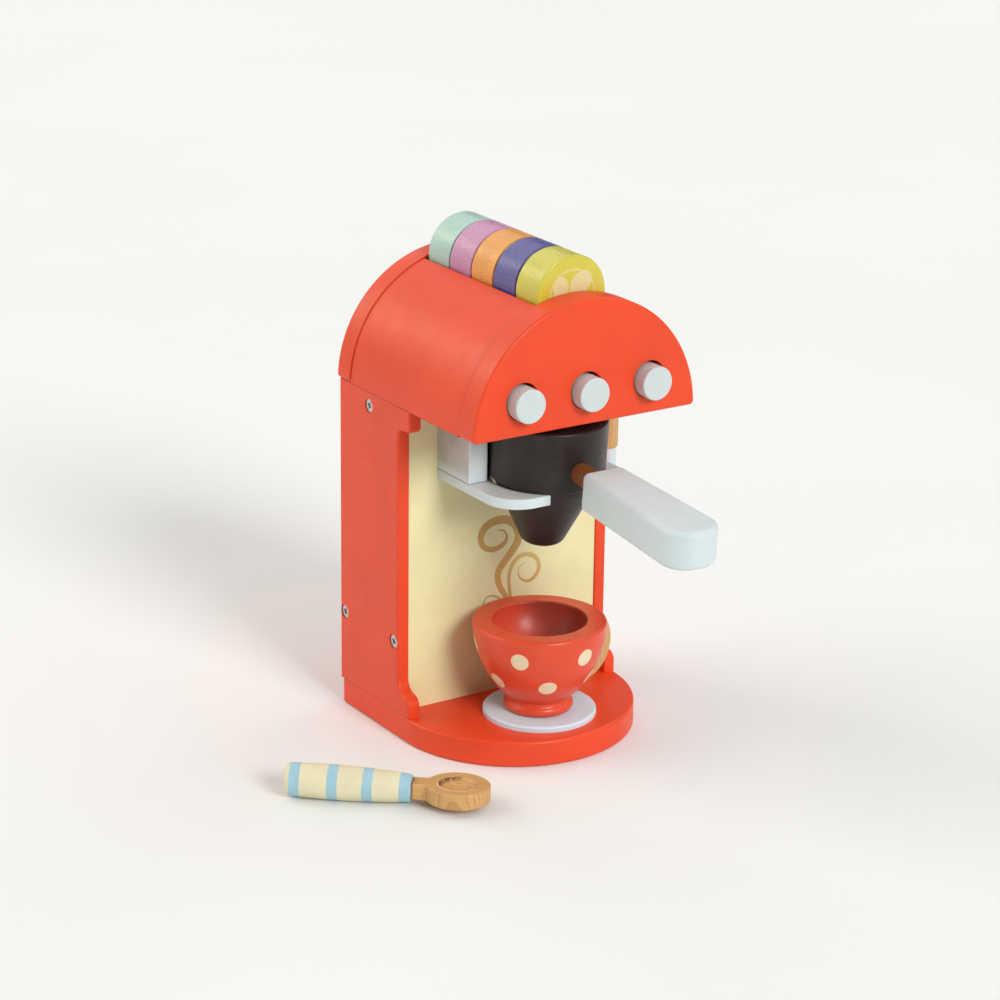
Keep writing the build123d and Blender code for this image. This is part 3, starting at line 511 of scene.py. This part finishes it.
M = {}
for slot in ("red_board",):
    M[slot] = red_board(slot + "_m")
M["cream_board"] = cream_board("cream_board_m")
M["bare_board"] = bare_board("bare_board_m")
M["screw_steel"] = steel("screw_steel_m", tone=0.62)
M["spring_steel"] = steel("spring_steel_m", tone=0.6)
M["button_paint"] = paint("button_paint_m", lin(203, 214, 214), rough=0.42, mottle=0.03, peel=0.010,
                          grain=(1.0, 9.0, 1.0), grain_h=0.014, grain_dark=0.10)
M["pale_blue_paint"] = paint("pale_blue_paint_m", lin(209, 222, 224), rough=0.42, mottle=0.03, peel=0.007,
                             grain=(14.0, 14.0, 1.0), grain_h=0.008, grain_dark=0.05, specks=0.05,
                             shade=bracket_shade)
M["lilac_paint"] = paint("lilac_paint_m", lin(211, 232, 244), rough=0.45, mottle=0.035, peel=0.006,
                         grain=(16.0, 1.0, 1.0), grain_h=0.008, grain_dark=0.06, specks=0.06)
M["tip_paint"] = paint("tip_paint_m", lin(205, 219, 224), rough=0.42, mottle=0.03, peel=0.007,
                       grain=(1.0, 1.0, 12.0), grain_h=0.008, grain_dark=0.06)
M["dark_paint"] = dark_paint("dark_paint_m")
M["cup_paint"] = cup_paint("cup_paint_m")
M["barrel_paint"] = barrel_paint("barrel_paint_m")
PRINT = lin(222, 214, 158)
for slot, col, front, wrinkle in (
    ("mint_paint", lin(178, 214, 200), 30.5, 0.09),
    ("pink_paint", lin(208, 142, 186), 11.5, 0.34),
    ("orange_paint", lin(243, 162, 58), -7.3, 0.30),
    ("indigo_paint", lin(78, 76, 156), -26.2, 0.50),
    ("lime_paint", lin(214, 206, 66), -45.5, 0.14),
):
    M[slot] = pod_paint(slot + "_m", col, front, PRINT, wrinkle, slot != "lime_paint")

cup_out = (math.cos(math.radians(12)), math.sin(math.radians(12)), 0.0)
M["natural_wood"] = wood("natural_wood_m", (0, 0, 1), cup_out, (60, 0, 45), lin(207, 166, 110), lin(183, 135, 78),
                         lin(150, 104, 60), ring=2.3, rough=0.45, far=42.0)
M["dowel_wood"] = wood("dowel_wood_m", (0, -1, -0.08), (1, 0, 0), (0, -55, 144), lin(136, 78, 40), lin(122, 65, 32),
                       lin(86, 44, 22), ring=2.0, rough=0.42, far=20.0)
M["spoon_wood"] = wood("spoon_wood_m", tuple(SX), tuple(SY), tuple(HEAD_AT), lin(212, 166, 108), lin(176, 124, 70),
                       lin(126, 78, 44), ring=1.9, rough=0.5, far=150.0, depth=scoop_shade)

slots = {m["slot"] for m in frame["record"]["materials"]}
for name, o in nodes.items():
    old = [s.material.name.split(".")[0] if s.material else "" for s in o.material_slots]
    for i, s in enumerate(o.material_slots):
        s.material = M[old[i]]


# ------------------------------------------------------- printed steam scrolls
def spline(points, steps=14):
    """Catmull-Rom through (x, z, width) points."""
    pts = [Vector(p) for p in points]
    pts = [pts[0] * 2 - pts[1]] + pts + [pts[-1] * 2 - pts[-2]]
    out = []
    for i in range(1, len(pts) - 2):
        a, b, c, d = pts[i - 1:i + 3]
        for k in range(steps):
            u = k / steps
            out.append(0.5 * ((2 * b) + (c - a) * u + (2 * a - 5 * b + 4 * c - d) * u * u
                              + (3 * b - a - 3 * c + d) * u * u * u))
    out.append(pts[-2])
    return out


PANEL_Y = 8.9


def scroll(name, points, proud):
    """A printed band on the splash panel: a thin closed ribbon, proud mm above the board."""
    line = spline(points)
    me = bpy.data.meshes.new(name)
    bm = bmesh.new()
    rows = []
    for i, p in enumerate(line):
        a, b = line[max(i - 1, 0)], line[min(i + 1, len(line) - 1)]
        d = Vector((b.x - a.x, b.y - a.y))
        d.normalize()
        n = Vector((-d.y, d.x)) * max(p.z, 0.12) / 2
        row = []
        for sx, y in ((1, PANEL_Y - proud), (0, PANEL_Y - proud - 0.004), (-1, PANEL_Y - proud),
                      (-1, PANEL_Y + 0.05), (1, PANEL_Y + 0.05)):
            row.append(bm.verts.new(((p.x + n.x * sx) / 1000, y / 1000, (p.y + n.y * sx) / 1000)))
        rows.append(row)
    for r0, r1 in zip(rows, rows[1:]):
        for k in range(5):
            j = (k + 1) % 5
            bm.faces.new((r0[k], r0[j], r1[j], r1[k]))
    bm.faces.new(rows[0])
    bm.faces.new(list(reversed(rows[-1])))
    bmesh.ops.recalc_face_normals(bm, faces=bm.faces)
    bm.to_mesh(me)
    bm.free()
    o = bpy.data.objects.new(name, me)
    bpy.context.scene.collection.objects.link(o)
    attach(o, "machine")
    return o


def ink(name, colour, colour2, low, high):
    """Print that fades from one tone to another up the panel, with the board's grain through it."""
    t = Tree(name)
    x, y, z = t.split()
    c = t.mix(t.fit(z, low, high), colour, colour2)
    g = t.noise(t.mm, 0.7, 4.0, 0.6, 0.2, stretch=(1.0, 1.0, 14.0))
    c = t.mix(t.math("MULTIPLY", t.fit(g, 0.5, 0.75), 0.22), c, scaled(colour, 1.2))
    f = t.noise(t.mm, 0.3, 3.0, 0.7)
    c = t.mix(t.math("MULTIPLY", t.fit(f, 0.55, 0.7), 0.20), c, scaled(colour, 0.75))
    return t.done(c, t.fit(f, 0.3, 0.7, 0.42, 0.55), t.math("MULTIPLY", g, 0.005), spec=0.4)


BIG = [(5.2, 50.0, 0.6), (4.3, 54.5, 1.9), (1.51, 61.03, 2.81), (-1.28, 65.49, 3.04), (-2.85, 70.48, 3.38), (-2.38, 74.54, 3.80),
       (-0.01, 77.71, 3.90), (2.84, 80.8, 4.06), (5.79, 84.12, 4.3), (8.12, 87.3, 4.4), (8.87, 91.04, 4.26),
       (7.82, 94.58, 4.1), (5.58, 97.72, 4.1), (2.55, 99.87, 4.2), (-1.9, 100.7, 4.35), (-6.92, 100.11, 4.3),
       (-10.49, 98.2, 4.15), (-12.4, 95.45, 3.9), (-12.88, 92.46, 3.45), (-11.93, 89.51, 3.0), (-9.6, 87.3, 2.8),
       (-6.74, 86.32, 2.75), (-3.7, 86.37, 2.7), (-0.72, 87.41, 2.5), (1.55, 89.41, 2.0), (1.98, 91.8, 1.34),
       (0.79, 94.2, 0.9), (-1.5, 95.4, 0.62), (-3.7, 95.16, 0.2)]
SECOND = [(6.4, 50.0, 0.5), (5.2, 55.5, 1.5), (4.42, 60.45, 1.93), (3.96, 64.46, 1.82), (3.61, 68.18, 1.8), (3.78, 71.79, 1.99),
          (4.95, 75.21, 2.23), (6.82, 77.86, 2.34), (9.52, 79.79, 2.43), (13.29, 80.16, 2.4), (16.81, 79.08, 2.3),
          (19.79, 76.53, 2.2), (20.91, 73.19, 2.19), (20.5, 70.02, 2.15), (18.32, 67.41, 2.0), (15.3, 66.06, 1.66),
          (12.36, 66.73, 1.25), (10.0, 68.61, 1.0), (8.9, 71.32, 0.74), (9.39, 73.73, 0.56), (11.05, 75.18, 0.42),
          (13.08, 75.73, 0.2)]
THIRD = [(3.2, 49.0, 0.4), (1.9, 54.0, 1.0), (-0.2, 57.8, 1.25), (-1.19, 59.47, 1.2), (-3.24, 61.18, 1.1), (-5.85, 62.22, 0.98),
         (-8.45, 62.22, 0.92), (-10.16, 61.0, 0.87), (-10.83, 59.0, 0.8), (-10.4, 57.0, 0.7), (-8.9, 55.7, 0.62),
         (-7.1, 55.8, 0.52), (-6.0, 57.2, 0.42), (-6.6, 58.6, 0.32), (-7.7, 58.9, 0.2)]
for nm, pts, proud, mat in (
    ("steam_scroll_big", BIG, 0.040, ink("steam_ink_big", lin(205, 162, 96), lin(197, 159, 90), 60.0, 105.0)),
    ("steam_scroll_second", SECOND, 0.032, ink("steam_ink_second", lin(203, 159, 100), lin(212, 184, 112), 62.0, 80.0)),
    ("steam_scroll_third", THIRD, 0.024, ink("steam_ink_third", lin(197, 157, 100), lin(200, 166, 108), 52.0, 62.0)),
):
    scroll(nm, pts, proud).data.materials.append(mat)


# ------------------------------------------------------------ button springs
# A coil spring closes up when its button is pressed; each one here is built as a fixed coil.
SPRING_Y0, SPRING_Y1, SPRING_R, WIRE_R, TURNS = -43.6, -31.0, 4.6, 0.45, 5.0


def spring(name, bx, bz):
    me = bpy.data.meshes.new(name)
    bm = bmesh.new()
    y0, run = SPRING_Y0 + WIRE_R + 0.05, SPRING_Y1 - SPRING_Y0 - 2 * WIRE_R - 0.1
    steps, around, rows = int(TURNS * 36), 12, []
    for i in range(steps + 1):
        k = i / steps
        w = 2 * math.pi * TURNS * k
        c = Vector((bx + SPRING_R * math.cos(w), y0 + run * k, bz + SPRING_R * math.sin(w)))
        out = Vector((math.cos(w), 0, math.sin(w)))
        along = Vector((-SPRING_R * math.sin(w), run / (2 * math.pi * TURNS), SPRING_R * math.cos(w))).normalized()
        side = along.cross(out)
        rows.append([bm.verts.new((c + (out * math.cos(a) + side * math.sin(a)) * WIRE_R) / 1000)
                     for a in (2 * math.pi * j / around for j in range(around))])
    for r0, r1 in zip(rows, rows[1:]):
        for j in range(around):
            bm.faces.new((r0[j], r0[(j + 1) % around], r1[(j + 1) % around], r1[j]))
    bm.faces.new(rows[0])
    bm.faces.new(rows[-1])
    bmesh.ops.recalc_face_normals(bm, faces=bm.faces)
    for f in bm.faces:
        f.smooth = len(f.verts) == 4
    bm.to_mesh(me)
    bm.free()
    o = bpy.data.objects.new(name, me)
    bpy.context.scene.collection.objects.link(o)
    o.data.materials.append(M["spring_steel"])
    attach(o, "machine")
    return o


for side, bx in (("left", -34.9), ("middle", 0.0), ("right", 34.9)):
    o = spring("coil_" + side, bx, 183.5)
    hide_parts("button_spring_" + side)
    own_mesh(o)


# ------------------------------------------------------------------ the stage
def floor_material():
    t = Tree("studio_floor")
    n = t.noise(t.mm, 420.0, 3.0, 0.5)
    f = t.noise(t.mm, 1.3, 3.0, 0.6)
    c = t.mix(t.fit(n, 0.3, 0.7), (0.83, 0.84, 0.835, 1.0), (0.85, 0.86, 0.855, 1.0))
    c = t.mix(t.math("MULTIPLY", t.fit(f, 0.5, 0.75), 0.08), c, (0.805, 0.81, 0.80, 1.0))
    return t.done(c, t.fit(f, 0.3, 0.7, 0.75, 0.9), t.math("MULTIPLY", f, 0.01), spec=0.2)


me = bpy.data.meshes.new("floor")
S = 20.0
me.from_pydata([(-S, -S, 0), (S, -S, 0), (S, S, 0), (-S, S, 0)], [], [(0, 1, 2, 3)])
floor = bpy.data.objects.new("floor", me)
bpy.context.scene.collection.objects.link(floor)
floor.data.materials.append(floor_material())
floor.location.z = -0.00002


def sun(name, az, el, strength, angle, colour=(1.0, 1.0, 1.0)):
    """A soft far light, seen from the object at azimuth az (0 is the front, 90 the right side) and elevation el."""
    li = bpy.data.lights.new(name, "SUN")
    li.energy, li.angle, li.color = strength, math.radians(angle), colour
    o = bpy.data.objects.new(name, li)
    a, e = math.radians(az), math.radians(el)
    d = Vector((math.sin(a) * math.cos(e), -math.cos(a) * math.cos(e), math.sin(e)))
    o.rotation_euler = d.to_track_quat("Z", "Y").to_euler()
    o.location = d
    bpy.context.scene.collection.objects.link(o)
    return o


sun("key", 2, 29, 1.82, 22, (1.0, 0.995, 0.985))
sun("key_low", 2, 20, 0.27, 28)
sun("left_back", -122, 33, 1.14, 55, (1.0, 0.975, 0.90))
sun("left_back_low", -135, 20, 0.34, 50, (1.0, 0.96, 0.86))
sun("sheen", -150, 25, 0.34, 17, (1.0, 0.90, 0.68))
sun("right", 95, 46, 0.72, 50)
sun("overhead", 0, 88, 0.42, 60)
sun("behind", 170, 35, 0.64, 50)
sun("right_front", 50, 35, 0.29, 40)
sun("camera_side", -35, 45, 0.21, 50)

world = bpy.data.worlds.new("studio")
bpy.context.scene.world = world
world.use_nodes = True
wt = world.node_tree
wt.nodes.clear()
wo = wt.nodes.new("ShaderNodeOutputWorld")
amb = wt.nodes.new("ShaderNodeBackground")
amb.inputs[0].default_value = (0.97, 0.985, 1.0, 1.0)
amb.inputs[1].default_value = 0.012
seen = wt.nodes.new("ShaderNodeBackground")
seen.inputs[0].default_value = (0.86, 0.86, 0.85, 1.0)
seen.inputs[1].default_value = 1.0
lp = wt.nodes.new("ShaderNodeLightPath")
mx = wt.nodes.new("ShaderNodeMixShader")
wt.links.new(lp.outputs["Is Camera Ray"], mx.inputs[0])
wt.links.new(amb.outputs[0], mx.inputs[1])
wt.links.new(seen.outputs[0], mx.inputs[2])
wt.links.new(mx.outputs[0], wo.inputs[0])

bpy.context.scene.view_settings.view_transform = "Standard"
bpy.context.scene.view_settings.look = "None"

# ------------------------------------------------------------------ the camera
CAM_AZ, CAM_EL, CAM_ROLL = -0.57647014, 0.3365377, 0.01328859
CAM_DIST, CAM_AIM, CAM_F = 1.57859488, (0.033027, 0.063, 0.088281), 3140.66
back = Vector((math.sin(CAM_AZ) * math.cos(CAM_EL), -math.cos(CAM_AZ) * math.cos(CAM_EL), math.sin(CAM_EL)))
fwd = -back
right0 = fwd.cross(Vector((0, 0, 1))).normalized()
up0 = right0.cross(fwd)
right = right0 * math.cos(CAM_ROLL) + up0 * math.sin(CAM_ROLL)
up = -right0 * math.sin(CAM_ROLL) + up0 * math.cos(CAM_ROLL)
cd = bpy.data.cameras.new("camera")
cd.sensor_width = 36.0
cd.lens = CAM_F * 36.0 / 1000.0
cd.clip_start, cd.clip_end = 0.05, 100.0
cam = bpy.data.objects.new("camera", cd)
rot = Matrix((right, up, back)).transposed().to_4x4()
cam.matrix_world = Matrix.Translation(Vector(CAM_AIM) + back * CAM_DIST) @ rot
bpy.context.scene.collection.objects.link(cam)
bpy.context.scene.camera = cam
